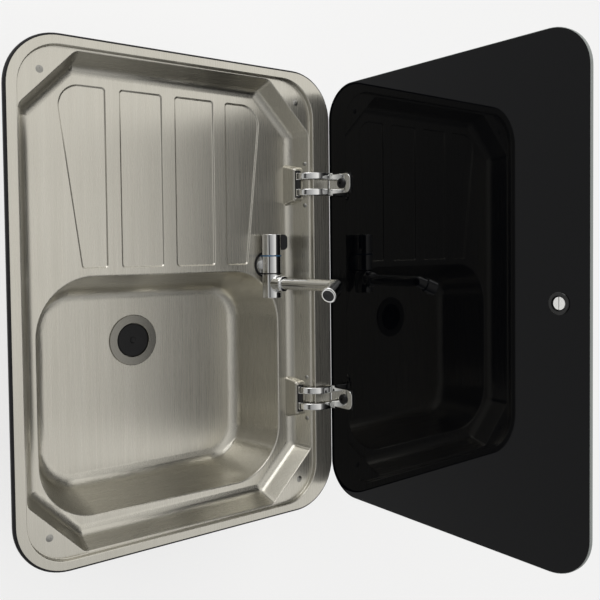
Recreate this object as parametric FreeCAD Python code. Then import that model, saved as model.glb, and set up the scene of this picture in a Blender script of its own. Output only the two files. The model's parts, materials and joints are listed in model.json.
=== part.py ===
import FreeCAD, Part
import math
import os

# Folding camper sink. Millimetres. Z is up and z = 0 is the worktop surface under the seal.
# X runs along the sink, with the drainer at -X and the basin at +X. Y points to the hinge side.
V = FreeCAD.Vector
os.makedirs("parts", exist_ok=True)

# rim, sheet and seal
SHEET_T = 1.0          # pressed sheet thickness
SEAL_T = 5.0           # seal thickness between rim and worktop
SEAL_OUT = 3.0         # seal shown beyond the rim
SEAL_IN = 7.0          # seal width under the rim
SEAL_ROUND = 2.2       # rounding of the seal's outer top edge
RIM_L = 600.0
RIM_W = 445.0
RIM_R = 60.0
RIM_Z = SEAL_T + SHEET_T

# lid recess inside the rim
SIDE_FLANGE = 10.0
FRONT_FLANGE = 12.0
BACK_FLANGE = 28.0
RECESS_R = 50.0
PAD_DEPTH = 6.5        # corner pads below the rim
RIM_ROUND = 1.5        # rounding of the rim's inner edge
FOOT_ROUND = 1.0       # rounding at the foot of the recess
PAD_ROUND = 1.6        # rounding of the pads' edges
RX = RIM_L / 2 - SIDE_FLANGE
RY0 = -RIM_W / 2 + FRONT_FLANGE
RY1 = RIM_W / 2 - BACK_FLANGE
PAD_Z = RIM_Z - PAD_DEPTH

# sloping walls and deck
DECK_DEPTH = 38.0
WALL_RUN = 15.0        # inward run of the walls over the deck depth
PAD_LEG = 68.0         # leg of the corner pad triangle at the rim
DECK_LEG = 56.0        # leg of the cut corner at the deck
WALL_FILLET = 14.0
DECK_Z = RIM_Z - DECK_DEPTH

# basin
BASIN_L = 288.5        # basin mouth along X
BASIN_SIDE = 31.5      # basin mouth from the recess at its end, front and back
BASIN_FRONT = 27.0
BASIN_BACK = 36.5
BASIN_R = 72.0
FLOOR_R = 47.0
FLOOR_DEPTH = 120.0    # basin floor below the rim
BASIN_RUN_X0 = 22.0
BASIN_RUN_X1 = 16.0
BASIN_RUN_Y = 22.0
FLOOR_FILLET = 18.0
LIP_FILLET = 2.5
FLOOR_Z = RIM_Z - FLOOR_DEPTH
BASIN_X1 = RX - BASIN_SIDE
BASIN_X0 = BASIN_X1 - BASIN_L
BASIN_Y0 = RY0 + BASIN_FRONT
BASIN_Y1 = RY1 - BASIN_BACK

# sunk flute panels of the drainer
FLUTE_DEPTH = 1.8
FLUTE_SIDE = 33.0      # panels from the recess at the end, front and back
FLUTE_FRONT = 53.5
FLUTE_BACK = 61.5
FLUTE_BASIN_GAP = 9.5  # panels from the basin mouth
FLUTE_COUNT = 4
FLUTE_RIB = 18.0
FLUTE_EXTRA = 5.3      # extra width of the first panel
FLUTE_TAPER_FRONT = 30.0   # inward lean of the first panel's outer side towards the basin
FLUTE_TAPER_BACK = 24.0    # the same for the last panel
FLUTE_CORNER = 27.0        # radius of the two far outer corners
FLUTE_FILLET = 4.5         # radius of the other corners
FLUTE_SLOPE = 50.0         # slope of the panels' sides in degrees
FLUTE_ROUND = 1.2          # rounding at the top and foot of the sides
FLUTE_X0 = -RX + FLUTE_SIDE
FLUTE_X1 = BASIN_X0 - FLUTE_BASIN_GAP
FLUTE_Y0 = RY0 + FLUTE_FRONT
FLUTE_Y1 = RY1 - FLUTE_BACK
FLUTE_W = (FLUTE_Y1 - FLUTE_Y0 - FLUTE_EXTRA - (FLUTE_COUNT - 1) * FLUTE_RIB) / FLUTE_COUNT

# corner screws
SCREW_SIDE = 28.5      # screws from the recess at the ends, front and back
SCREW_FRONT = 26.5
SCREW_BACK = 24.5
SCREW_R = 2.0
SCREW_NECK = 0.6       # plain neck's extra radius through the sheet
SCREW_LEN = 20.0
SCREW_HEAD_R = 4.3
SCREW_HEAD_T = 0.8
SCREW_SLOT = 0.9       # width of the cross slot
SCREW_TIP = 0.3        # radius of the screws' tips
HOLE_PLAY = 0.15       # radial play of the screw holes

# lid and its hinges
LID_T = 5.0
LID_GAP_X = 3.0
LID_GAP_FRONT = 2.5
LID_GAP_BACK = 6.8     # room for the back edge to swing past the rim
LID_R = 47.0
LID_BEVEL = 0.6        # ground edge of the glass
LID_OPEN = 91.3        # opening angle from closed to the photographed pose
PIVOT_BACK = 13.5      # pivot behind the recess
PIVOT_DROP = 22.0      # pivot below the rim
PIVOT_Y = RY1 + PIVOT_BACK
PIVOT_Z = RIM_Z - PIVOT_DROP
LID_Z0 = RIM_Z - LID_T
LID_Y0 = RY0 + LID_GAP_FRONT
LID_BACK_Y = RY1 - LID_GAP_BACK

HINGE_SIDE = 139.5     # hinge centre from the recess's end
HINGE_X = RX - HINGE_SIDE
ARM_R = 28.4           # gooseneck centre radius about the pivot
ARM_T = 3.4
ARM_ROUND = 1.5        # rounding along the gooseneck
PRONG_IN = 6.5         # prong inner and outer faces from the hinge centre
PRONG_OUT = 16.0
ARM_HEAD = 120.0       # ends of the gooseneck's arc with the lid closed, in degrees
ARM_TAIL = 271.0
EYE_R = 6.0
WEB_T = 4.0            # web from the eye to the gooseneck
PIN_R = 2.5
PIN_PLAY = 0.05
PIN_HEAD = 1.5         # pin head's extra radius and thickness
PIN_END = 3.0          # pin end beyond the ear
CLIP_T = 1.0
CLIP_W = 2.0
PLATE_T = 2.5
PLATE_CORNER = 9.0     # corner radius of the plate's free end
PLATE_ROUND = 0.7
CROSSBAR = 6.0         # bar across the prongs
PRONG_WEB = 2.8        # rounded inner corners between prongs and bar
PLATE_HALF = 13.5
PLATE_LEN = 42.0
PLATE_BACK = 4.5       # plate's back end from the lid's back edge
PAD_T = 0.8            # pad between glass and plate
BOLT_BACK = 29.7       # hinge bolt from the lid's back edge
BOLT_R = 3.0
BOLT_HEAD_R = 7.0
BOLT_HEAD_T = 3.0
BOLT_HEAD_ROUND = 1.6
BOLT_SOCKET_R = 2.6
BOLT_SOCKET_T = 1.6
BOLT_PROUD = 1.2       # bolt end inside its cap
CAP_R = 8.0
CAP_T = 2.5
CAP_ROUND = 1.2

HUMP_TOP = 15.5        # hump top below the rim
HUMP_REACH = 21.0      # hump's front-top edge in front of the recess's back edge
HUMP_LEAN = 3.0        # further reach of its foot
HUMP_TOP_HALF = 23.0
HUMP_FOOT_HALF = 29.0
HUMP_FILLET = 4.0
SLOT_HALF = 18.75
SLOT_EDGE = 1.7        # slot from the hump's front-top edge
SLOT_W = 9.3
LINER_T = 1.0
LINER_UP = 0.7
LINER_DOWN = 1.2
HUMP_TOP_Y = RY1 - HUMP_REACH
HUMP_FOOT_Y = HUMP_TOP_Y - HUMP_LEAN
HUMP_BACK_Y = RY1 + 0.5 * BACK_FLANGE
SLOT_Y0 = HUMP_TOP_Y + SLOT_EDGE
SLOT_Y1 = SLOT_Y0 + SLOT_W

EAR_IN = 16.6          # bracket ears from the hinge centre
EAR_T = 2.0
BRACKET_T = 2.0
BRACKET_HALF = 36.0
BRACKET_TOP = 8.2      # top of the bracket plate below the rim
BRACKET_LOW = 21.0
NOTCH_TOP = 17.5
TRAY_HALF = 29.0       # tray that joins the ears below the arms
TRAY_PLAY = 1.7        # tray below the arms' swing
BSCREW_X = 29.0        # bracket screws from the hinge centre
BSCREW_DROP = 12.5
BSCREW_R = 1.75
BSCREW_HEAD_R = 3.2
BSCREW_HEAD_T = 1.6
BSCREW_LEN = 9.0
BSCREW_SLOT = 0.8

# finger pull of the lid
KNOB_FRONT = 35.0      # centre from the lid's free edge
KNOB_RING_R = 12.0
KNOB_RING_T = 1.6
KNOB_HOLE_R = 9.5
KNOB_DISC_R = 6.8
KNOB_R = 13.0
KNOB_T = 9.0
KNOB_STEM_R = 4.0
KNOB_SLOT_W = 1.8
KNOB_SLOT_T = 0.9
KNOB_DISC_T = 2.2
KNOB_DISC_STEP = 0.5   # stem's seat in the disc
KNOB_DISC_PLAY = 1.5   # gap between disc and ring
KNOB_GASKET_T = 0.6
KNOB_GASKET_IN = 1.5   # gasket inside the knob's edge
KNOB_BEVEL = 2.0
KNOB_RING_BEVEL = 0.6

# tap
TAP_BACK = 56.5        # tap from the recess's back edge
TAP_SIDE = 9.0         # tap from the basin's end
TAP_AXIS_UP = 16.5     # barrel axis above the deck
TAP_X = BASIN_X0 - TAP_SIDE
TAP_Y = RY1 - TAP_BACK
BARREL_R = 13.5
HANDLE_L = 28.5
BARREL_ROUND = 1.2     # rounding of the barrel's ends
MIDDLE_L = 22.5
HUB_L = 32.5
HUB_SHIFT = 3.5        # spout from the hub's middle towards the tap body
HUB_ROUND = 2.0        # blend of the spout's collar into the hub
RING_GAP = 2.0         # indicator ring and spout seal widths
RING_IN = 0.2          # indicator ring and spout seal inside the barrel's face
SEAL_RING_IN = 0.8
SPIGOT_R = 9.0
SPIGOT_L = 12.0
SPIGOT_PLAY = 0.06
FACE_PLAY = 0.3
BASE_R = 16.0
BASE_T = 1.2
NECK_EDGE = 0.25       # neck of the tap body inside the ends of its barrel
TAP_GASKET_R = 18.0
TAP_GASKET_T = 1.5
NECK_R = MIDDLE_L / 2 - NECK_EDGE
SHANK_R = 10.0
SHANK_L = 45.0
SHANK_BORE_R = 6.0
TAP_NUT_R = 17.0
TAP_NUT_T = 8.0
TAP_WASHER_T = 2.0
TAP_WASHER_OUT = 2.0
TAIL_R = 6.0
TAIL_L = 30.0
TAIL_WALL = 1.2
TAIL_COLLAR_T = 3.0
TAIL_COLLAR_IN = 0.5   # tail's collar inside the shank's face
TAB_TIP = 21.5
TAB_T = 4.0
TAB_L = 21.0
TAB_ANGLE = 30.0
TAB_ROUND = 5.5
TAB_END = 0.5          # tab from the handle's end
SPOUT_LEAN = 7.0       # backward lean of the raised spout
SPOUT_R = 7.75
SPOUT_BORE_R = 6.3
SPOUT_LEN = 120.0
COLLAR_R = 11.0
COLLAR_L = 25.0
COLLAR_ROUND = 3.0
TUBE_SEAT = 2.0        # foot of the spout tube above the barrel
HUB_BORE_R = 4.0
NOZZLE_R = 10.5
NOZZLE_L = 28.0
NOZZLE_NECK_R = 8.2
NOZZLE_ROUND = 2.2     # rounding of the outlet's edge
NOZZLE_BORE_R = 5.0
NOZZLE_NECK_L = 0.6    # neck's end and head's start as shares of the outlet's length
NOZZLE_HEAD_L = 0.42
ELBOW_L = 9.0          # straight neck of the elbow below the bend
NOZZLE_DIR = V(0.40, -0.82, 0.40)
AERATOR_R = 7.5
AERATOR_T = 4.0
AERATOR_IN = 0.8       # aerator's face inside the outlet's edge
AERATOR_RINGS = 3
AERATOR_GROOVE = 1.1   # width and depth of the aerator's grooves

# drain
DRAIN_SIDE = 91.0      # drain from the basin mouth's end and front
DRAIN_FRONT = 157.5
DRAIN_X = BASIN_X0 + DRAIN_SIDE
DRAIN_Y = BASIN_Y0 + DRAIN_FRONT
DRAIN_R = 34.5
DRAIN_LIP_T = 1.8
DRAIN_HOLE_R = 26.0
DRAIN_PLAY = 0.8       # radial play of the plug in the flange
DRAIN_BEVEL = 0.8
DRAIN_DROP = 8.0
STRAINER_R = 14.0      # circle and radius of the strainer holes
STRAINER_HOLE_R = 3.4
STRAINER_HOLES = 6
DRAIN_WALL = 1.6
PLUG_R = 22.2
PLUG_SINK = 0.5        # plug's top below the flange's top
PLUG_SEAT_T = 1.6      # height of the plug's seal
PLUG_DIMPLE_R = 5.0
PLUG_SEAL_R = 19.0
DRAIN_BODY_R = 33.0
DRAIN_BODY_H = 26.0
DRAIN_GASKET_T = 2.0
BODY_BAND = 10.0       # straight band of the drain body
BRIDGE_T = 5.0         # bridge that takes the centre screw
BRIDGE_W = 8.0
OUTLET_R = 12.5
OUTLET_L = 30.0
OUTLET_WALL = 2.0
CENTRE_SCREW_R = 3.0
SCREW_TOP_R = 5.0
SCREW_TOP_T = 1.2


def save(name, shape):
    if not shape.isValid():
        print("not valid", name)
    print(name, len(shape.Solids), round(shape.Volume, 1))
    shape.exportStep("parts/" + name + ".step")


def rrect(x0, x1, y0, y1, r, z):
    c = r * math.sqrt(0.5)
    e = []
    e.append(Part.LineSegment(V(x0 + r, y0, z), V(x1 - r, y0, z)).toShape())
    e.append(Part.Arc(V(x1 - r, y0, z), V(x1 - r + c, y0 + r - c, z), V(x1, y0 + r, z)).toShape())
    e.append(Part.LineSegment(V(x1, y0 + r, z), V(x1, y1 - r, z)).toShape())
    e.append(Part.Arc(V(x1, y1 - r, z), V(x1 - r + c, y1 - r + c, z), V(x1 - r, y1, z)).toShape())
    e.append(Part.LineSegment(V(x1 - r, y1, z), V(x0 + r, y1, z)).toShape())
    e.append(Part.Arc(V(x0 + r, y1, z), V(x0 + r - c, y1 - r + c, z), V(x0, y1 - r, z)).toShape())
    e.append(Part.LineSegment(V(x0, y1 - r, z), V(x0, y0 + r, z)).toShape())
    e.append(Part.Arc(V(x0, y0 + r, z), V(x0 + r - c, y0 + r - c, z), V(x0 + r, y0, z)).toShape())
    return Part.Wire(e)


def slab(x0, x1, y0, y1, r, z0, z1):
    return Part.Face(rrect(x0, x1, y0, y1, r, z0)).extrude(V(0, 0, z1 - z0))


def box(x0, x1, y0, y1, z0, z1):
    return Part.makeBox(x1 - x0, y1 - y0, z1 - z0, V(x0, y0, z0))


def cyl(r, base, top):
    d = top.sub(base)
    return Part.makeCylinder(r, d.Length, base, d)


def tube(r_out, r_in, base, top):
    d = top.sub(base).normalize()
    return cyl(r_out, base, top).cut(cyl(r_in, base.sub(d), top.add(d)))


def octagon(inset, leg, z):
    x = RX - inset
    y0 = RY0 + inset
    y1 = RY1 - inset
    p = [V(-x + leg, y0, z), V(x - leg, y0, z), V(x, y0 + leg, z), V(x, y1 - leg, z)]
    p += [V(x - leg, y1, z), V(-x + leg, y1, z), V(-x, y1 - leg, z), V(-x, y0 + leg, z)]
    return Part.makePolygon(p + [p[0]])


def profile_x(points, x0, x1):
    """Prism of a closed (y, z) outline between two x planes."""
    p = [V(x0, y, z) for y, z in points]
    return Part.Face(Part.makePolygon(p + [p[0]])).extrude(V(x1 - x0, 0, 0))


def revolve(points, x, y):
    """Turned solid of a closed (radius, z) outline about a vertical axis at x, y."""
    p = [V(x + r, y, z) for r, z in points]
    return Part.Face(Part.makePolygon(p + [p[0]])).revolve(V(x, y, 0), V(0, 0, 1), 360)


def wall_y(drop):
    """Inner face of the back wall at a depth below the rim."""
    return RY1 - WALL_RUN * drop / DECK_DEPTH


SLOPE = math.hypot(WALL_RUN, DECK_DEPTH) / DECK_DEPTH


def well(o):
    """Room above the deck, grown by o."""
    depth = DECK_DEPTH + o
    top = octagon(-o * SLOPE, PAD_LEG, RIM_Z)
    run = WALL_RUN * depth / DECK_DEPTH
    leg = PAD_LEG + (DECK_LEG - PAD_LEG) * depth / DECK_DEPTH
    s = Part.makeLoft([top, octagon(run - o * SLOPE, leg, RIM_Z - depth)], True, True)
    edges = [e for e in s.Edges if e.CenterOfMass.z < RIM_Z - 0.01]
    return s.makeFillet(WALL_FILLET + o, edges)


def basin(o):
    """Room of the basin, grown by o, with its mouth a little above the deck."""
    up = 0.2 * DECK_DEPTH
    depth = FLOOR_DEPTH - DECK_DEPTH + o
    k0 = -up / (FLOOR_DEPTH - DECK_DEPTH)
    k1 = depth / (FLOOR_DEPTH - DECK_DEPTH)

    def ring(k, z):
        return rrect(BASIN_X0 + k * BASIN_RUN_X0 - o, BASIN_X1 - k * BASIN_RUN_X1 + o,
                     BASIN_Y0 + k * BASIN_RUN_Y - o, BASIN_Y1 - k * BASIN_RUN_Y + o,
                     BASIN_R + k * (FLOOR_R - BASIN_R) + o, z)

    s = Part.makeLoft([ring(k0, DECK_Z + up), ring(k1, DECK_Z - depth)], True, True)
    edges = [e for e in s.Edges if e.BoundBox.ZMax < DECK_Z - depth + 0.01]
    s = s.makeFillet(FLOOR_FILLET + o, edges)
    return s.common(box(-RIM_L, RIM_L, -RIM_W, RIM_W, FLOOR_Z - FLOOR_DEPTH, DECK_Z + 0.5 * SHEET_T))


def rounded(points, radii, grow, z):
    """Closed outline of a convex polygon, moved out by grow, with a radius at each corner."""
    n = len(points)
    lines = []
    for i in range(n):
        a = V(points[i][0], points[i][1], z)
        d = V(points[(i + 1) % n][0], points[(i + 1) % n][1], z).sub(a).normalize()
        lines.append((a.add(V(d.y, -d.x, 0) * grow), d))
    corners = []
    for i in range(n):
        a, d = lines[i - 1]
        b, e = lines[i]
        gap = b.sub(a)
        corners.append(a.add(d * ((gap.x * e.y - gap.y * e.x) / (d.x * e.y - d.y * e.x))))
    edges = []
    ends = []
    for i in range(n):
        d = lines[i - 1][1]
        e = lines[i][1]
        r = radii[i] + grow
        half = d.getAngle(e) / 2
        reach = r * math.tan(half)
        middle = corners[i].add(e.sub(d).normalize() * (r / math.cos(half) - r))
        ends.append((corners[i].sub(d * reach), middle, corners[i].add(e * reach)))
    for i in range(n):
        edges.append(Part.Arc(*ends[i]).toShape())
        edges.append(Part.LineSegment(ends[i][2], ends[(i + 1) % n][0]).toShape())
    return Part.Wire(edges)


def flute(index, o):
    """One sunk panel of the drainer with sloping sides, grown by o."""
    first = index == 0
    last = index == FLUTE_COUNT - 1
    y1 = FLUTE_Y0 + FLUTE_EXTRA + (index + 1) * FLUTE_W + index * FLUTE_RIB
    y0 = FLUTE_Y0 if first else y1 - FLUTE_W
    p = [(FLUTE_X0, y0), (FLUTE_X1, y0 + (FLUTE_TAPER_FRONT if first else 0))]
    p += [(FLUTE_X1, y1 - (FLUTE_TAPER_BACK if last else 0)), (FLUTE_X0, y1)]
    radii = [FLUTE_CORNER if first else FLUTE_FILLET, FLUTE_FILLET, FLUTE_FILLET,
             FLUTE_CORNER if last else FLUTE_FILLET]
    lean = 1 / math.tan(math.radians(FLUTE_SLOPE))
    out = o / math.sin(math.radians(FLUTE_SLOPE))
    up = 0.25 * FLUTE_DEPTH
    down = FLUTE_DEPTH + o
    s = Part.makeLoft([rounded(p, radii, out + up * lean, DECK_Z + up),
                       rounded(p, radii, out - down * lean, DECK_Z - down)], True, True)
    foot = [e for e in s.Edges if e.BoundBox.ZMax < DECK_Z - down + 0.01]
    return s.makeFillet(FLUTE_ROUND + o, foot)


def hump(side, o):
    """Raised hump over a hinge slot, shrunk by o."""
    cx = side * HINGE_X
    z0 = DECK_Z - 4 * SHEET_T
    z1 = RIM_Z - HUMP_TOP - o
    top = RIM_Z - HUMP_TOP
    k = (top - z0) / (top - DECK_Z)
    foot_half = HUMP_TOP_HALF + k * (HUMP_FOOT_HALF - HUMP_TOP_HALF) - o
    foot_y = HUMP_TOP_Y - k * (HUMP_TOP_Y - HUMP_FOOT_Y) + o

    def ring(half, y, z):
        p = [V(cx - half, y, z), V(cx + half, y, z)]
        p += [V(cx + half, HUMP_BACK_Y, z), V(cx - half, HUMP_BACK_Y, z)]
        return Part.makePolygon(p + [p[0]])

    s = Part.makeLoft([ring(foot_half, foot_y, z0), ring(HUMP_TOP_HALF - o, HUMP_TOP_Y + o, z1)], True, True)
    front = HUMP_BACK_Y - 0.1 * HUMP_REACH
    edges = [e for e in s.Edges if e.CenterOfMass.y < front and e.CenterOfMass.z > z0 + SHEET_T]
    return s.makeFillet(HUMP_FILLET + SHEET_T - o, edges)


def recess(grow, z0, z1):
    return slab(-RX - grow, RX + grow, RY0 - grow, RY1 + grow, RECESS_R + grow, z0, z1)


def flat_at(edge, z):
    return abs(edge.BoundBox.ZMax - z) < 0.01 and abs(edge.BoundBox.ZMin - z) < 0.01


def off_walls(edge):
    b = edge.BoundBox
    return b.YMin > FLUTE_Y0 - FLUTE_RIB and b.YMax < FLUTE_Y1 + FLUTE_RIB and b.XMin > FLUTE_X0 - FLUTE_RIB


def pad_edge(edge):
    """An edge where the top of a sloping wall meets the level of the pads."""
    run = WALL_RUN * PAD_DEPTH / DECK_DEPTH
    m = edge.CenterOfMass
    inside = min(RX - abs(m.x), m.y - RY0, RY1 - m.y)
    return inside > run - 0.1 and len(edge.Vertexes) == 2 and edge.Length > 3 * PAD_ROUND


def room(o):
    """Everything above the inner face of the pan, or, grown by o, above its outer face."""
    s = recess(o, PAD_Z - o, RIM_Z + (2 * SHEET_T if o == 0 else 0))
    s = s.makeFillet(FOOT_ROUND + o, [e for e in s.Edges if e.BoundBox.ZMax < PAD_Z - o + 0.01])
    s = s.fuse(well(o))
    for side in (-1, 1):
        s = s.cut(hump(side, o))
    s = s.fuse(basin(o))
    s = s.removeSplitter()
    lip = []
    near = 3 * SHEET_T
    for e in s.Edges:
        b = e.BoundBox
        inside = b.YMax < BASIN_Y1 + near and b.YMin > BASIN_Y0 - near
        inside = inside and b.XMin > BASIN_X0 - near and b.XMax < BASIN_X1 + near
        if flat_at(e, DECK_Z - o) and inside:
            lip.append(e)
    s = s.makeFillet(LIP_FILLET - o, lip)
    for i in range(FLUTE_COUNT):
        s = s.fuse(flute(i, o))
    if o == 0:
        brim = [e for e in s.Edges if flat_at(e, DECK_Z) and e.BoundBox.XMax < BASIN_X0 and off_walls(e)]
        s = s.makeFillet(FLUTE_ROUND, brim)
        s = s.makeFillet(PAD_ROUND, [e for e in s.Edges if flat_at(e, PAD_Z) and pad_edge(e)])
    return s


def rounding():
    """What the rounded inner edge of the rim leaves open, with the room inside it."""
    r = RIM_ROUND
    ring = recess(3 * r, RIM_Z - 2 * r, RIM_Z).cut(recess(0, RIM_Z - 3 * r, RIM_Z + r))
    edge = [e for e in ring.Edges if flat_at(e, RIM_Z) and abs(e.CenterOfMass.x) < RX + 0.5 * r
            and RY0 - 0.5 * r < e.CenterOfMass.y < RY1 + 0.5 * r]
    return recess(r, RIM_Z - 2 * r, RIM_Z + r).cut(ring.makeFillet(r, edge))


# pan
rim = slab(-RIM_L / 2, RIM_L / 2, -RIM_W / 2, RIM_W / 2, RIM_R, RIM_Z - SHEET_T, RIM_Z)
pan = rim.fuse(room(SHEET_T)).cut(room(0))
pan = pan.cut(rounding())
SCREWS = []
for sx in (-1, 1):
    for sy in (RY0 + SCREW_FRONT, RY1 - SCREW_BACK):
        SCREWS.append((sx * (RX - SCREW_SIDE), sy))


def hole(r, x, y, z):
    """Upright cutter through the sheet whose inner face is at z."""
    return cyl(r, V(x, y, z - 5 * SHEET_T), V(x, y, z + 5 * SHEET_T))


for sx, sy in SCREWS:
    pan = pan.cut(hole(SCREW_R + SCREW_NECK + HOLE_PLAY, sx, sy, PAD_Z))
pan = pan.cut(hole(SHANK_R + HOLE_PLAY, TAP_X, TAP_Y, DECK_Z))
pan = pan.cut(hole(DRAIN_HOLE_R, DRAIN_X, DRAIN_Y, FLOOR_Z))

# direction square to the back wall, pointing back and down
WALL_N = V(0, DECK_DEPTH, -WALL_RUN).normalize()
for side in (-1, 1):
    cx = side * HINGE_X
    top = RIM_Z - HUMP_TOP
    pan = pan.cut(box(cx - SLOT_HALF, cx + SLOT_HALF, SLOT_Y0, SLOT_Y1, top - 3 * SHEET_T, top + 3 * SHEET_T))
    for sx in (-BSCREW_X, BSCREW_X):
        at = V(cx + sx, wall_y(BSCREW_DROP), RIM_Z - BSCREW_DROP)
        drill = WALL_N * (6 * SHEET_T)
        pan = pan.cut(cyl(BSCREW_R + SCREW_NECK + HOLE_PLAY, at.sub(drill), at.add(drill)))
save("sink_pan", pan)

# seal under the rim
seal = slab(-RIM_L / 2 - SEAL_OUT, RIM_L / 2 + SEAL_OUT, -RIM_W / 2 - SEAL_OUT, RIM_W / 2 + SEAL_OUT,
            RIM_R + SEAL_OUT, 0, SEAL_T)
seal = seal.cut(slab(-RIM_L / 2 + SEAL_IN, RIM_L / 2 - SEAL_IN, -RIM_W / 2 + SEAL_IN, RIM_W / 2 - SEAL_IN,
                     RIM_R - SEAL_IN, -SEAL_T, 2 * SEAL_T))
outer_top = [e for e in seal.Edges if e.BoundBox.ZMin > SEAL_T - 0.01
             and max(abs(e.CenterOfMass.x) - RIM_L / 2, abs(e.CenterOfMass.y) - RIM_W / 2) > 0.5 * SEAL_OUT]
save("rim_seal", seal.makeFillet(SEAL_ROUND, outer_top))


def screw(head_r, head_t, shank_r, length, slot):
    """Domed cross-slot screw with its seat at the origin and its shank along -Z."""
    dome_r = (head_r ** 2 + head_t ** 2) / (2 * head_t)
    head = Part.makeSphere(dome_r, V(0, 0, head_t - dome_r))
    head = head.common(cyl(head_r, V(0, 0, 0), V(0, 0, head_t)))
    for w, d in ((slot, 0.9 * head_r), (0.9 * head_r, slot)):
        head = head.cut(box(-w / 2, w / 2, -d / 2, d / 2, 0.35 * head_t, 2 * head_t))
    body = cyl(shank_r, V(0, 0, -length + shank_r), V(0, 0, 0))
    body = body.fuse(cyl(shank_r + SCREW_NECK, V(0, 0, -1.5 * SHEET_T), V(0, 0, 0)))
    tip = Part.makeCone(shank_r, SCREW_TIP, shank_r - SCREW_TIP, V(0, 0, -length + shank_r), V(0, 0, -1))
    return head.fuse([body, tip])


group = []
for sx, sy in SCREWS:
    s = screw(SCREW_HEAD_R, SCREW_HEAD_T, SCREW_R, SCREW_LEN, SCREW_SLOT)
    s.translate(V(sx, sy, PAD_Z))
    group.append(s)
save("corner_screws", Part.makeCompound(group))

# hinges
PIVOT = V(0, PIVOT_Y, PIVOT_Z)


def opened(shape):
    """Turns a shape drawn with the lid closed into the photographed pose."""
    s = shape.copy()
    s.rotate(PIVOT, V(1, 0, 0), -LID_OPEN)
    return s


def sector(r0, r1, a0, a1, x0, x1):
    """Ring sector about the pivot axis, angles from +Y towards +Z."""
    def at(r, a):
        t = math.radians(a)
        return V(x0, PIVOT_Y + r * math.cos(t), PIVOT_Z + r * math.sin(t))
    m = (a0 + a1) / 2
    e = [Part.Arc(at(r1, a0), at(r1, m), at(r1, a1)).toShape()]
    e.append(Part.LineSegment(at(r1, a1), at(r0, a1)).toShape())
    e.append(Part.Arc(at(r0, a1), at(r0, m), at(r0, a0)).toShape())
    e.append(Part.LineSegment(at(r0, a0), at(r1, a0)).toShape())
    return Part.Face(Part.Wire(e)).extrude(V(x1 - x0, 0, 0))


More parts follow.
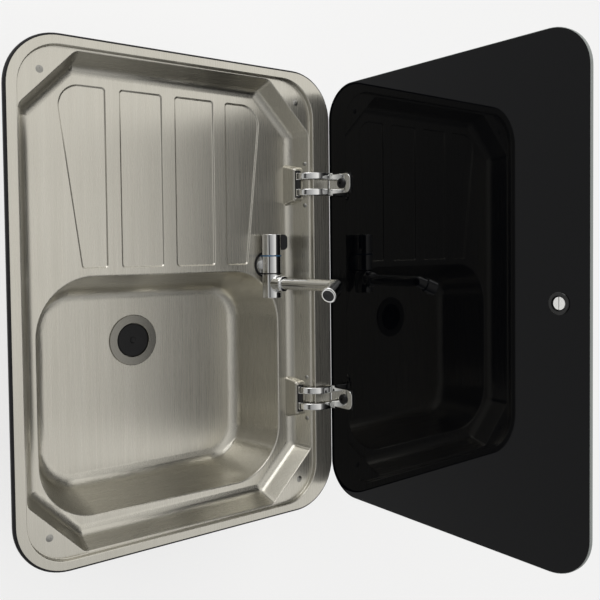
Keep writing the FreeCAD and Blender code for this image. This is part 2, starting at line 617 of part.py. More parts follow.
BOLT_Y = LID_BACK_Y - BOLT_BACK
PLATE_TOP = LID_Z0 - PAD_T
PLATE_Y1 = LID_BACK_Y - PLATE_BACK
PLATE_Y0 = LID_BACK_Y - PLATE_BACK - PLATE_LEN
bracket_screws = []
clips = []
pads = []
bolts = []
caps = []
for side, name in ((-1, "left"), (1, "right")):
    cx = side * HINGE_X
    # liner
    top = RIM_Z - HUMP_TOP
    liner = box(cx - SLOT_HALF, cx + SLOT_HALF, SLOT_Y0, SLOT_Y1, top - LINER_DOWN, top + LINER_UP)
    liner = liner.cut(box(cx - SLOT_HALF + LINER_T, cx + SLOT_HALF - LINER_T,
                          SLOT_Y0 + LINER_T, SLOT_Y1 - LINER_T, top - 2 * LINER_DOWN, top + 2 * LINER_UP))
    save("hinge_liner_" + name, liner)

    # bracket behind the wall
    off = SHEET_T * SLOPE
    thick = BRACKET_T * SLOPE
    ya = wall_y(BRACKET_TOP) + off
    yb = wall_y(BRACKET_LOW) + off
    za = RIM_Z - BRACKET_TOP
    zb = RIM_Z - BRACKET_LOW
    bracket = profile_x([(ya, za), (yb, zb), (yb + thick, zb), (ya + thick, za)],
                        cx - BRACKET_HALF, cx + BRACKET_HALF)
    notch = RIM_Z - NOTCH_TOP
    tray = PIVOT_Z - ARM_R - ARM_T / 2 - TRAY_PLAY
    bracket = bracket.cut(box(cx - EAR_IN, cx + EAR_IN, yb - thick, ya + 2 * thick, zb - thick, notch))
    for sx in (-1, 1):
        x0 = cx + sx * EAR_IN
        x1 = cx + sx * (EAR_IN + EAR_T)
        ear = profile_x([(ya + 0.5 * thick, za), (yb + 0.5 * thick, zb), (PIVOT_Y, PIVOT_Z - EYE_R),
                         (PIVOT_Y + EYE_R, PIVOT_Z), (PIVOT_Y, PIVOT_Z + EYE_R)], x0, x1)
        ear = ear.fuse(cyl(EYE_R, V(x0, PIVOT_Y, PIVOT_Z), V(x1, PIVOT_Y, PIVOT_Z)))
        ear = ear.fuse(box(min(x0, x1), max(x0, x1), PIVOT_Y - EYE_R, PIVOT_Y + EYE_R,
                           tray - BRACKET_T, PIVOT_Z))
        bracket = bracket.fuse(ear)
    bracket = bracket.fuse(box(cx - TRAY_HALF, cx + TRAY_HALF, PIVOT_Y - 2 * EYE_R, PIVOT_Y + 1.2 * EYE_R,
                               tray - BRACKET_T, tray))
    far = 2 * BRACKET_HALF
    bracket = bracket.cut(cyl(PIN_R, V(cx - far, PIVOT_Y, PIVOT_Z), V(cx + far, PIVOT_Y, PIVOT_Z)))
    for sx in (-BSCREW_X, BSCREW_X):
        at = V(cx + sx, wall_y(BSCREW_DROP), RIM_Z - BSCREW_DROP)
        drill = WALL_N * (2 * BSCREW_LEN)
        bracket = bracket.cut(cyl(BSCREW_R + SCREW_NECK, at.sub(drill), at.add(drill)))
        s = screw(BSCREW_HEAD_R, BSCREW_HEAD_T, BSCREW_R, BSCREW_LEN, BSCREW_SLOT)
        s.rotate(V(0, 0, 0), V(1, 0, 0), math.degrees(math.atan2(DECK_DEPTH, WALL_RUN)))
        s.translate(at)
        bracket_screws.append(s)
    save("hinge_bracket_" + name, bracket.removeSplitter())

    # pin with a head at one end and a clip at the other
    end0 = V(cx - EAR_IN - EAR_T, PIVOT_Y, PIVOT_Z)
    end1 = V(cx + EAR_IN + EAR_T, PIVOT_Y, PIVOT_Z)
    pin = cyl(PIN_R, end0.sub(V(PIN_END, 0, 0)), end1)
    pin = pin.fuse(cyl(PIN_R + PIN_HEAD, end1, end1.add(V(PIN_HEAD, 0, 0))))
    save("hinge_pin_" + name, pin)
    clips.append(tube(PIN_R + CLIP_W, PIN_R, end0.sub(V(CLIP_T, 0, 0)), end0))

    # gooseneck arm, drawn with the lid closed
    arm = box(cx - PLATE_HALF, cx + PLATE_HALF, PLATE_Y0, PLATE_Y1, PLATE_TOP - PLATE_T, PLATE_TOP)
    upright = [e for e in arm.Edges if e.BoundBox.ZLength > 0.5 * PLATE_T]
    corner = [e for e in upright if e.CenterOfMass.y < PLATE_Y0 + PLATE_T]
    arm = arm.makeFillet(PLATE_CORNER, corner)
    low = PLATE_TOP - PLATE_T
    arm = arm.fuse(box(cx - PRONG_OUT, cx + PRONG_OUT, PLATE_Y1 - CROSSBAR, PLATE_Y1, low, PLATE_TOP))
    arm = arm.removeSplitter()
    front = PLATE_Y1 - 0.5 * CROSSBAR
    face = [e for e in arm.Edges if flat_at(e, low) and e.CenterOfMass.y < front]
    arm = arm.makeFillet(PLATE_ROUND, face)
    web_y = PLATE_Y1 + PRONG_WEB
    bridge = box(cx - PRONG_IN, cx + PRONG_IN, PLATE_Y1, web_y, low, PLATE_TOP)
    gap = slab(cx - PRONG_IN, cx + PRONG_IN, PLATE_Y1, web_y + 2 * PRONG_WEB, PRONG_WEB,
               low - PLATE_T, PLATE_TOP + PLATE_T)
    arm = arm.fuse(bridge.cut(gap).Solids)
    for sx in (-1, 1):
        x0 = cx + min(sx * PRONG_IN, sx * PRONG_OUT)
        x1 = cx + max(sx * PRONG_IN, sx * PRONG_OUT)
        neck = sector(ARM_R - ARM_T / 2, ARM_R + ARM_T / 2, ARM_HEAD, ARM_TAIL, x0, x1)
        neck = neck.makeFillet(ARM_ROUND, [e for e in neck.Edges if e.Curve.TypeId == "Part::GeomCircle"])
        neck = neck.cut(box(x0, x1, PIVOT_Y - 2 * ARM_R, PIVOT_Y + 2 * ARM_R, PLATE_TOP, PIVOT_Z + 2 * ARM_R))
        web = box(x0, x1, PIVOT_Y - WEB_T, PIVOT_Y + 0.1 * WEB_T, PIVOT_Z - ARM_R, PIVOT_Z)
        eye = cyl(EYE_R, V(x0, PIVOT_Y, PIVOT_Z), V(x1, PIVOT_Y, PIVOT_Z))
        arm = arm.fuse([neck, web, eye])
    arm = arm.cut(cyl(PIN_R + PIN_PLAY, V(cx - far, PIVOT_Y, PIVOT_Z), V(cx + far, PIVOT_Y, PIVOT_Z)))
    drill = cyl(BOLT_R, V(cx, BOLT_Y, LID_Z0 - 4 * LID_T), V(cx, BOLT_Y, LID_Z0 + 4 * LID_T))
    arm = arm.cut(drill)
    save("hinge_arm_" + name, opened(arm.removeSplitter()))

    pad = box(cx - PLATE_HALF, cx + PLATE_HALF, PLATE_Y0, PLATE_Y1, PLATE_TOP, LID_Z0)
    pads.append(opened(pad.cut(drill)))
    head = cyl(BOLT_HEAD_R, V(cx, BOLT_Y, low - BOLT_HEAD_T), V(cx, BOLT_Y, low))
    head = head.makeFillet(BOLT_HEAD_ROUND, [e for e in head.Edges if flat_at(e, low - BOLT_HEAD_T)])
    head = head.cut(Part.makeCylinder(BOLT_SOCKET_R, BOLT_SOCKET_T, V(cx, BOLT_Y, low - BOLT_HEAD_T)))
    bolts.append(opened(head.fuse(cyl(BOLT_R, V(cx, BOLT_Y, low), V(cx, BOLT_Y, RIM_Z + BOLT_PROUD)))))
    cap = cyl(CAP_R, V(cx, BOLT_Y, RIM_Z), V(cx, BOLT_Y, RIM_Z + CAP_T))
    cap = cap.makeFillet(CAP_ROUND, [e for e in cap.Edges if flat_at(e, RIM_Z + CAP_T)])
    caps.append(opened(cap.cut(cyl(BOLT_R, V(cx, BOLT_Y, RIM_Z - CAP_T), V(cx, BOLT_Y, RIM_Z + BOLT_PROUD)))))
save("hinge_bracket_screws", Part.makeCompound(bracket_screws))
save("hinge_pin_clips", Part.makeCompound(clips))
save("hinge_pads", Part.makeCompound(pads))
save("hinge_bolts", Part.makeCompound(bolts))
save("hinge_caps", Part.makeCompound(caps))

# lid glass
KNOB_Y = LID_Y0 + KNOB_FRONT
glass = slab(-RX + LID_GAP_X, RX - LID_GAP_X, LID_Y0, LID_BACK_Y, LID_R, LID_Z0, RIM_Z)
rims = [e for e in glass.Edges if e.BoundBox.ZLength < 0.01]
glass = glass.makeChamfer(LID_BEVEL, rims)
for sx in (-HINGE_X, HINGE_X):
    glass = glass.cut(cyl(BOLT_R, V(sx, BOLT_Y, LID_Z0 - LID_T), V(sx, BOLT_Y, RIM_Z + LID_T)))
glass = glass.cut(cyl(KNOB_HOLE_R, V(0, KNOB_Y, LID_Z0 - LID_T), V(0, KNOB_Y, RIM_Z + LID_T)))
save("lid_glass", opened(glass))


def turned(points):
    """Turned piece of the finger pull, heights from the glass's inner face."""
    return revolve([(r, LID_Z0 + z) for r, z in points], 0, KNOB_Y)


# finger pull: knob outside, bush in the hole with its ring inside, slotted disc as the nut
seat = LID_T + KNOB_GASKET_T
crown = LID_T + KNOB_T
pull = turned([(0, seat), (KNOB_R - KNOB_GASKET_IN, seat), (KNOB_R, seat + KNOB_GASKET_IN),
               (KNOB_R, crown - KNOB_BEVEL), (KNOB_R - KNOB_BEVEL, crown), (0, crown)])
stem0 = KNOB_DISC_T - KNOB_DISC_STEP
pull = pull.fuse(cyl(KNOB_STEM_R, V(0, KNOB_Y, LID_Z0 + stem0), V(0, KNOB_Y, LID_Z0 + seat + KNOB_BEVEL)))
save("lid_knob", opened(pull))
gasket = turned([(KNOB_STEM_R, LID_T), (KNOB_R - KNOB_GASKET_IN, LID_T), (KNOB_R - KNOB_GASKET_IN, seat),
                 (KNOB_STEM_R, seat)])
save("knob_gasket", opened(gasket))
mouth = KNOB_DISC_R + KNOB_DISC_PLAY
ring = turned([(mouth, -KNOB_RING_T), (KNOB_RING_R - KNOB_RING_BEVEL, -KNOB_RING_T),
               (KNOB_RING_R, -KNOB_RING_T + KNOB_RING_BEVEL), (KNOB_RING_R, 0), (KNOB_HOLE_R, 0),
               (KNOB_HOLE_R, LID_T), (KNOB_STEM_R, LID_T), (KNOB_STEM_R, KNOB_DISC_T), (mouth, KNOB_DISC_T)])
save("knob_ring", opened(ring))
disc = turned([(0, 0), (KNOB_DISC_R, 0), (KNOB_DISC_R, KNOB_DISC_T), (KNOB_STEM_R, KNOB_DISC_T),
               (KNOB_STEM_R, stem0), (0, stem0)])
disc = disc.cut(box(-KNOB_R, KNOB_R, KNOB_Y - KNOB_SLOT_W / 2, KNOB_Y + KNOB_SLOT_W / 2,
                    LID_Z0 - KNOB_SLOT_T, LID_Z0 + KNOB_SLOT_T))
save("knob_disc", opened(disc))

# tap: the barrel lies along X with its middle fixed to the deck
TAP_Z = DECK_Z + TAP_AXIS_UP
MID0 = TAP_X - MIDDLE_L / 2
MID1 = TAP_X + MIDDLE_L / 2


def on_axis(x):
    return V(x, TAP_Y, TAP_Z)


body = cyl(BARREL_R, on_axis(MID0), on_axis(MID1))
body = body.fuse(cyl(SPIGOT_R, on_axis(MID0 - RING_GAP - SPIGOT_L), on_axis(MID1 + RING_GAP + SPIGOT_L)))
base0 = DECK_Z + TAP_GASKET_T
body = body.fuse(cyl(BASE_R, V(TAP_X, TAP_Y, base0), V(TAP_X, TAP_Y, base0 + BASE_T)))
body = body.fuse(cyl(NECK_R, V(TAP_X, TAP_Y, base0), V(TAP_X, TAP_Y, TAP_Z)))
body = body.cut(cyl(SHANK_BORE_R, V(TAP_X, TAP_Y, base0 - BASE_T), V(TAP_X, TAP_Y, TAP_Z)))
body = body.cut(cyl(SHANK_BORE_R, on_axis(MID0 - 2 * HANDLE_L), on_axis(MID1 + 2 * HUB_L)))
save("tap_body", body.removeSplitter())
save("tap_gasket", tube(TAP_GASKET_R, SHANK_R, V(TAP_X, TAP_Y, DECK_Z), V(TAP_X, TAP_Y, base0)))

ring0 = MID0 - RING_GAP
save("indicator_ring", tube(BARREL_R - RING_IN, SPIGOT_R, on_axis(ring0 + FACE_PLAY), on_axis(MID0)))
save("spout_seal", tube(BARREL_R - SEAL_RING_IN, SPIGOT_R, on_axis(MID1), on_axis(MID1 + RING_GAP - FACE_PLAY)))

# valve core turned by the handle
core0 = ring0 - SPIGOT_L - FACE_PLAY
core = cyl(SHANK_BORE_R - SPIGOT_PLAY, on_axis(core0), on_axis(TAP_X - SHANK_BORE_R - SHEET_T))
save("tap_core", core)
handle = cyl(BARREL_R, on_axis(ring0 - HANDLE_L), on_axis(ring0))
handle = handle.makeFillet(BARREL_ROUND, [e for e in handle.Edges if e.BoundBox.XMax < ring0 - HANDLE_L + 0.01])
handle = handle.cut(cyl(SPIGOT_R + SPIGOT_PLAY, on_axis(core0), on_axis(ring0 + RING_GAP)))
save("tap_handle", handle)


def tab_outline(x0):
    half = TAB_T / 2
    x1 = x0 + TAB_L
    s = box(x0, x1, TAP_Y + 0.5 * BARREL_R, TAP_Y + TAB_TIP, TAP_Z - half, TAP_Z + half)
    tip = [e for e in s.Edges if e.BoundBox.ZLength > half and e.CenterOfMass.y > TAP_Y + TAB_TIP - half]
    s = s.makeFillet(TAB_ROUND, tip)
    s = s.cut(cyl(BARREL_R, on_axis(x0 - half), on_axis(x1 + half)))
    s.rotate(on_axis(0), V(1, 0, 0), TAB_ANGLE)
    return s


save("tap_lever_tab", tab_outline(ring0 - HANDLE_L + TAB_END))

# spout, drawn upright and then leaned back
hub0 = MID1 + RING_GAP
HUB_MID = hub0 + HUB_L / 2 - HUB_SHIFT
hub = cyl(BARREL_R, on_axis(hub0), on_axis(hub0 + HUB_L))
hub = hub.makeFillet(BARREL_ROUND, [e for e in hub.Edges if e.BoundBox.XMin > hub0 + HUB_L - 0.01])
neck = cyl(COLLAR_R, on_axis(HUB_MID), V(HUB_MID, TAP_Y, TAP_Z + COLLAR_L))
neck = neck.makeFillet(COLLAR_ROUND, [e for e in neck.Edges if flat_at(e, TAP_Z + COLLAR_L)])
hub = hub.fuse(neck).removeSplitter()
joint = [e for e in hub.Edges if e.BoundBox.ZMin > TAP_Z and e.BoundBox.ZMax < TAP_Z + BARREL_R + 0.1
         and e.BoundBox.XMin > HUB_MID - COLLAR_R - 0.1 and e.BoundBox.XMax < HUB_MID + COLLAR_R + 0.1]
hub = hub.makeFillet(HUB_ROUND, joint)
hub = hub.cut(cyl(SPIGOT_R + SPIGOT_PLAY, on_axis(hub0 - RING_GAP), on_axis(hub0 + SPIGOT_L + FACE_PLAY)))
seat0 = V(HUB_MID, TAP_Y, TAP_Z + BARREL_R + TUBE_SEAT)
seat1 = V(HUB_MID, TAP_Y, TAP_Z + SPOUT_LEN - ELBOW_L)
hub = hub.cut(cyl(SPOUT_R, seat0, seat1))
hub = hub.cut(cyl(HUB_BORE_R, on_axis(HUB_MID), seat1))
spout = tube(SPOUT_R, SPOUT_BORE_R, seat0, seat1)

# the elbow's outlet points to the front and a little towards the basin
END = V(HUB_MID, TAP_Y, TAP_Z + SPOUT_LEN)
lean_back = FreeCAD.Rotation(V(1, 0, 0), SPOUT_LEAN)
OUT = V(NOZZLE_DIR).normalize()
OUT = lean_back.multVec(OUT)
nozzle = Part.makeSphere(NOZZLE_NECK_R, END)
nozzle = nozzle.fuse(cyl(NOZZLE_NECK_R, END.sub(V(0, 0, ELBOW_L)), END))
nozzle = nozzle.fuse(cyl(NOZZLE_NECK_R, END, END.add(OUT * NOZZLE_L * NOZZLE_NECK_L)))
mouth = END.add(OUT * NOZZLE_L)
head = cyl(NOZZLE_R, END.add(OUT * NOZZLE_L * NOZZLE_HEAD_L), mouth)
head = head.makeFillet(NOZZLE_ROUND, [e for e in head.Edges if e.CenterOfMass.sub(mouth).Length < NOZZLE_ROUND])
nozzle = nozzle.fuse(head)
face = END.add(OUT * (NOZZLE_L - AERATOR_IN))
back = END.add(OUT * (NOZZLE_L - AERATOR_IN - AERATOR_T))
nozzle = nozzle.cut(cyl(AERATOR_R, back, mouth.add(OUT)))
nozzle = nozzle.cut(cyl(NOZZLE_BORE_R, END, mouth))
nozzle = nozzle.cut(cyl(NOZZLE_BORE_R, END.sub(V(0, 0, 2 * ELBOW_L)), END))
aerator = cyl(AERATOR_R, back, face)
for i in range(AERATOR_RINGS):
    r = AERATOR_R * (i + 0.5) / AERATOR_RINGS
    groove = tube(r + AERATOR_GROOVE / 2, r - AERATOR_GROOVE / 2, face.sub(OUT * AERATOR_GROOVE), mouth)
    aerator = aerator.cut(groove)
raised = {"spout_hub": hub, "spout_tube": spout, "spout_nozzle": nozzle, "aerator": aerator}
for name in raised:
    s = raised[name].removeSplitter()
    s.rotate(on_axis(0), V(1, 0, 0), -SPOUT_LEAN)
    save(name, s)

# tap fixing under the deck
deck_low = DECK_Z - SHEET_T
shank = tube(SHANK_R, SHANK_BORE_R, V(TAP_X, TAP_Y, deck_low - SHANK_L), V(TAP_X, TAP_Y, base0))
save("tap_shank", shank)
nut_top = deck_low - TAP_WASHER_T
washer = tube(TAP_NUT_R + TAP_WASHER_OUT, SHANK_R, V(TAP_X, TAP_Y, nut_top), V(TAP_X, TAP_Y, deck_low))
save("tap_washer", washer)
hexagon = []
for i in range(6):
    turn = math.radians(60 * i)
    spoke = V(math.cos(turn), math.sin(turn), 0) * TAP_NUT_R
    hexagon.append(V(TAP_X, TAP_Y, nut_top - TAP_NUT_T).add(spoke))
nut = Part.Face(Part.makePolygon(hexagon + [hexagon[0]])).extrude(V(0, 0, TAP_NUT_T))
save("tap_nut", nut.cut(cyl(SHANK_R, V(TAP_X, TAP_Y, nut_top - 2 * TAP_NUT_T), V(TAP_X, TAP_Y, nut_top))))
tail_top = deck_low - SHANK_L
tail = tube(TAIL_R, TAIL_R - TAIL_WALL, V(TAP_X, TAP_Y, tail_top - TAIL_L), V(TAP_X, TAP_Y, tail_top))
collar = tube(SHANK_R - TAIL_COLLAR_IN, TAIL_R - TAIL_WALL,
              V(TAP_X, TAP_Y, tail_top - TAIL_COLLAR_T), V(TAP_X, TAP_Y, tail_top))
tail = tail.fuse(collar).removeSplitter()
save("tap_inlet_tail", tail)

# drain
z0 = FLOOR_Z
low = z0 - DRAIN_DROP
cup_r = PLUG_R + DRAIN_PLAY
lip = z0 + DRAIN_LIP_T
plug0 = low + DRAIN_WALL
flange = revolve([(0, low), (cup_r + DRAIN_WALL, low), (cup_r + DRAIN_WALL, z0), (DRAIN_R, z0),
                  (DRAIN_R, lip - DRAIN_BEVEL), (DRAIN_R - DRAIN_BEVEL, lip), (cup_r + 0.5 * DRAIN_BEVEL, lip),
                  (cup_r, lip - 0.5 * DRAIN_BEVEL), (cup_r, plug0), (0, plug0)], DRAIN_X, DRAIN_Y)
for i in range(STRAINER_HOLES):
    a = 2 * math.pi * i / STRAINER_HOLES
    at = V(DRAIN_X + STRAINER_R * math.cos(a), DRAIN_Y + STRAINER_R * math.sin(a), low - DRAIN_WALL)
    flange = flange.cut(Part.makeCylinder(STRAINER_HOLE_R, 3 * DRAIN_WALL, at))
flange = flange.cut(cyl(CENTRE_SCREW_R, V(DRAIN_X, DRAIN_Y, low - DRAIN_WALL), V(DRAIN_X, DRAIN_Y, z0)))
save("drain_flange", flange)

seat = plug0 + PLUG_SEAT_T
plug_top = lip - PLUG_SINK
plug = revolve([(0, seat), (PLUG_R - DRAIN_BEVEL, seat), (PLUG_R, seat + DRAIN_BEVEL),
                (PLUG_R, plug_top - DRAIN_BEVEL), (PLUG_R - DRAIN_BEVEL, plug_top), (PLUG_DIMPLE_R, plug_top),
                (0.6 * PLUG_DIMPLE_R, plug_top - PLUG_SEAT_T), (0, plug_top - PLUG_SEAT_T)], DRAIN_X, DRAIN_Y)
save("drain_plug", plug)
plug_seal = tube(PLUG_SEAL_R + PLUG_SEAT_T, PLUG_SEAL_R, V(DRAIN_X, DRAIN_Y, plug0), V(DRAIN_X, DRAIN_Y, seat))
save("plug_seal", plug_seal)

under = z0 - SHEET_T
body_top = under - DRAIN_GASKET_T
gasket = tube(DRAIN_BODY_R, DRAIN_HOLE_R, V(DRAIN_X, DRAIN_Y, body_top), V(DRAIN_X, DRAIN_Y, under))
save("drain_gasket", gasket)
cup_low = body_top - DRAIN_BODY_H
cup_floor = cup_low + 1.5 * OUTLET_WALL
band_low = body_top - BODY_BAND
cup = revolve([(DRAIN_HOLE_R, body_top), (DRAIN_BODY_R, body_top), (DRAIN_BODY_R, band_low),
               (OUTLET_R + 3 * OUTLET_WALL, cup_low), (OUTLET_R, cup_low), (OUTLET_R, cup_low - OUTLET_L),
               (OUTLET_R - OUTLET_WALL, cup_low - OUTLET_L), (OUTLET_R - OUTLET_WALL, cup_floor),
               (OUTLET_R + 2 * OUTLET_WALL, cup_floor), (DRAIN_HOLE_R, band_low)], DRAIN_X, DRAIN_Y)
bridge_low = band_low - BRIDGE_T
bridge = box(DRAIN_X - DRAIN_HOLE_R, DRAIN_X + DRAIN_HOLE_R, DRAIN_Y - BRIDGE_W / 2, DRAIN_Y + BRIDGE_W / 2,
             bridge_low, band_low)
boss = cyl(2 * CENTRE_SCREW_R, V(DRAIN_X, DRAIN_Y, bridge_low - 0.5 * BRIDGE_T), V(DRAIN_X, DRAIN_Y, band_low))
cup = cup.fuse([bridge, boss])
cup = cup.cut(cyl(CENTRE_SCREW_R, V(DRAIN_X, DRAIN_Y, bridge_low - BRIDGE_T), V(DRAIN_X, DRAIN_Y, body_top)))
save("drain_body", cup.removeSplitter())
head = cyl(SCREW_TOP_R, V(DRAIN_X, DRAIN_Y, plug0), V(DRAIN_X, DRAIN_Y, plug0 + SCREW_TOP_T))
half = SCREW_TOP_T / 2
head = head.cut(box(DRAIN_X - SCREW_TOP_R, DRAIN_X + SCREW_TOP_R, DRAIN_Y - half, DRAIN_Y + half,
                    plug0 + 0.4 * SCREW_TOP_T, plug0 + 2 * SCREW_TOP_T))
stem = cyl(CENTRE_SCREW_R, V(DRAIN_X, DRAIN_Y, bridge_low - 0.3 * BRIDGE_T), V(DRAIN_X, DRAIN_Y, plug0))
save("drain_screw", head.fuse(stem))
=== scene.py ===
import bpy
import json
import math
from mathutils import Matrix, Vector


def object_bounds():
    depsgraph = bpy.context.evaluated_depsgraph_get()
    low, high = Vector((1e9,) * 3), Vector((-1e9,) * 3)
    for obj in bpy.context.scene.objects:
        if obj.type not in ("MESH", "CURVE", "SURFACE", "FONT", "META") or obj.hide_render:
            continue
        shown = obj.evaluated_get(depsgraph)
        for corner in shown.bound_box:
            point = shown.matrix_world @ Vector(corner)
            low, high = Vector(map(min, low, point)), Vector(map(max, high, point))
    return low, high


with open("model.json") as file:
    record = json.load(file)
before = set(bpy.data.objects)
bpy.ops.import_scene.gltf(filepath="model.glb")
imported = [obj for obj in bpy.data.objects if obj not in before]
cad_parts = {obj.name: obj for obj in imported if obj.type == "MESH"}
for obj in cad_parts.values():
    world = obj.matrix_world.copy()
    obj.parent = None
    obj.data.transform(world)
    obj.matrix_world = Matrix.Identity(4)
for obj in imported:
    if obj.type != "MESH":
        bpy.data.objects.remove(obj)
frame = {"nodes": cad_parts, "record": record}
cad_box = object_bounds()
scene = bpy.context.scene

# Camera, in metres in the frame of the part
IMAGE_SIZE = 600.0
SENSOR = 36.0
FOCAL_PX = 747.0
CENTRE_X_PX = 275.0
CENTRE_Y_PX = 274.0
EYE = Vector((-0.0593, -0.4594, 0.8227))
VIEW_AXIS = Vector((0.0323, 0.5832, -0.8117))
VIEW_RIGHT = Vector((0.0118, 0.8119, 0.5837))
CLIP_START = 0.01

# Smooth shading of the solids' meshes
MERGE_DISTANCE = 0.000002
SMOOTH_ANGLE = math.radians(40)

# Values of a noise at which a material's dark and light colour are reached
DARK_AT = 0.3
LIGHT_AT = 0.7

# Height of the bump's relief, in metres
METAL_RELIEF = 0.0002
POLYMER_RELIEF = 0.0003

# Pressed stainless steel; noise scales are in cells per metre
STEEL_DARK = (0.545, 0.525, 0.465)
STEEL_LIGHT = (0.60, 0.58, 0.52)
STEEL_ROUGH = 0.285
STEEL_ANISOTROPY = 0.86
END_WALL_FROM = 0.35     # share of the normal along X from which a face counts as an end wall
END_WALL_FULL = 0.6
FINE_LINES = 2400.0
FINE_STRETCH = 0.004
FINE_BUMP = 0.005
BROAD_LINES = 110.0
BROAD_STRETCH = 0.03
BROAD_SHARE = 0.5        # weight of the broad lines in the shade; the clouds have the rest
CLOUDS = 6.0

# Turned ring of the drain, about the drain's upright axis; its colours carry painted shade, far darker than
# the pan's steel
RING_CENTRE = (0.061, -0.026, 0.0)
RING_PAINTED_SHADE_DARK = (0.19, 0.185, 0.165)
RING_PAINTED_SHADE_LIGHT = (0.27, 0.26, 0.235)
RING_ROUGH = 0.24
RING_LINES = 1800.0
RING_BUMP = 0.04

# Plated, polished or machined metals: colour, roughness, noise scale
METALS = {
    "screw_steel": ((0.34, 0.335, 0.315), 0.34, 300.0),
    "chrome": ((0.68, 0.68, 0.675), 0.05, 50.0),
    "arm_chrome": ((0.74, 0.74, 0.73), 0.08, 60.0),
    "brass": ((0.70, 0.52, 0.25), 0.28, 150.0),
    "knob_disc": ((0.92, 0.92, 0.90), 0.30, 500.0),
}
METAL_DARKER = 0.94
METAL_BUMP = 0.02

# Rubbers, plastics and paint: dark and light colour, roughness, noise scale of the grain, strength of its bump
POLYMERS = {
    "black_steel": ((0.004, 0.004, 0.005), (0.007, 0.007, 0.008), 0.5, 700.0, 0.10),
    "seal_rubber": ((0.005, 0.005, 0.006), (0.010, 0.010, 0.011), 0.6, 900.0, 0.15),
    "plug_rubber": ((0.006, 0.006, 0.007), (0.012, 0.012, 0.013), 0.45, 800.0, 0.12),
    "black_plastic": ((0.004, 0.004, 0.005), (0.008, 0.008, 0.009), 0.36, 1200.0, 0.08),
    "knob_plastic": ((0.008, 0.008, 0.008), (0.014, 0.014, 0.014), 0.15, 900.0, 0.05),
    "aerator_plastic": ((0.035, 0.035, 0.038), (0.06, 0.06, 0.065), 0.40, 1500.0, 0.15),
    "grey_plastic": ((0.26, 0.27, 0.28), (0.32, 0.33, 0.34), 0.45, 700.0, 0.10),
    "blue_plastic": ((0.020, 0.10, 0.22), (0.035, 0.15, 0.30), 0.25, 600.0, 0.05),
}
POLYMER_SPECULAR = 0.3
POLYMER_PATCHES = 40.0

# Black glass of the lid, whose face leans back from upright
LID_LEAN = math.radians(1.3)
GLASS_IOR = 1.24
GLASS_FACE = (0.0010, 0.0012, 0.0019)
GLASS_EDGE = (0.30, 0.32, 0.31)
FACE_FROM = 0.80         # share of the normal across the lid from which a face counts as its broad face
FACE_FULL = 0.92
GLASS_SMUDGES = 9.0
FACE_ROUGH = (0.012, 0.035)
EDGE_ROUGH = (0.4, 0.55)

# Floor
FLOOR_SIZE = 14.0
FLOOR_COLOUR = (0.92, 0.92, 0.92)
FLOOR_LIGHTER = 1.005
FLOOR_PATCHES = 2.0
FLOOR_ROUGH = 0.9
FLOOR_WHITE = 0.65       # share of plain white in what camera, metal and glass see of the floor

# Surroundings: their colour from 0, straight away from this direction, to 1, straight along it
SKY_TOWARDS = Vector((-0.45, 0.50, 0.72))
SKY_STOPS = [
    (0.00, (0.52, 0.52, 0.51)),
    (0.34, (0.52, 0.52, 0.51)),
    (0.39, (0.05, 0.05, 0.05)),
    (0.44, (0.05, 0.05, 0.05)),
    (0.49, (0.36, 0.36, 0.36)),
    (0.68, (0.55, 0.55, 0.55)),
    (0.90, (1.02, 1.01, 0.985)),
]

# Lamp beside the sink, aimed at the origin
LAMP_PLACE = Vector((-2.0, -1.1, 0.5))
LAMP_WIDTH = 1.8
LAMP_HEIGHT = 1.2
LAMP_POWER = 20.0


def make_camera():
    data = bpy.data.cameras.new("camera")
    data.sensor_width = SENSOR
    data.lens = FOCAL_PX / IMAGE_SIZE * SENSOR
    data.shift_x = (IMAGE_SIZE / 2 - CENTRE_X_PX) / IMAGE_SIZE
    data.shift_y = (CENTRE_Y_PX - IMAGE_SIZE / 2) / IMAGE_SIZE
    data.clip_start = CLIP_START
    camera = bpy.data.objects.new("camera", data)
    scene.collection.objects.link(camera)
    back = -VIEW_AXIS.normalized()
    right = (VIEW_RIGHT - back * VIEW_RIGHT.dot(back)).normalized()
    up = back.cross(right)
    turn = Matrix((right, up, back)).transposed()
    camera.matrix_world = Matrix.Translation(EYE) @ turn.to_4x4()
    scene.camera = camera


def fill_ramp(node, stops):
    """Sets the stops of a colour ramp, given in rising order."""
    elements = node.color_ramp.elements
    while len(elements) < len(stops):
        elements.new(1.0)
    for element, (place, colour) in zip(elements, stops):
        element.position = place
        element.color = (*colour, 1.0)


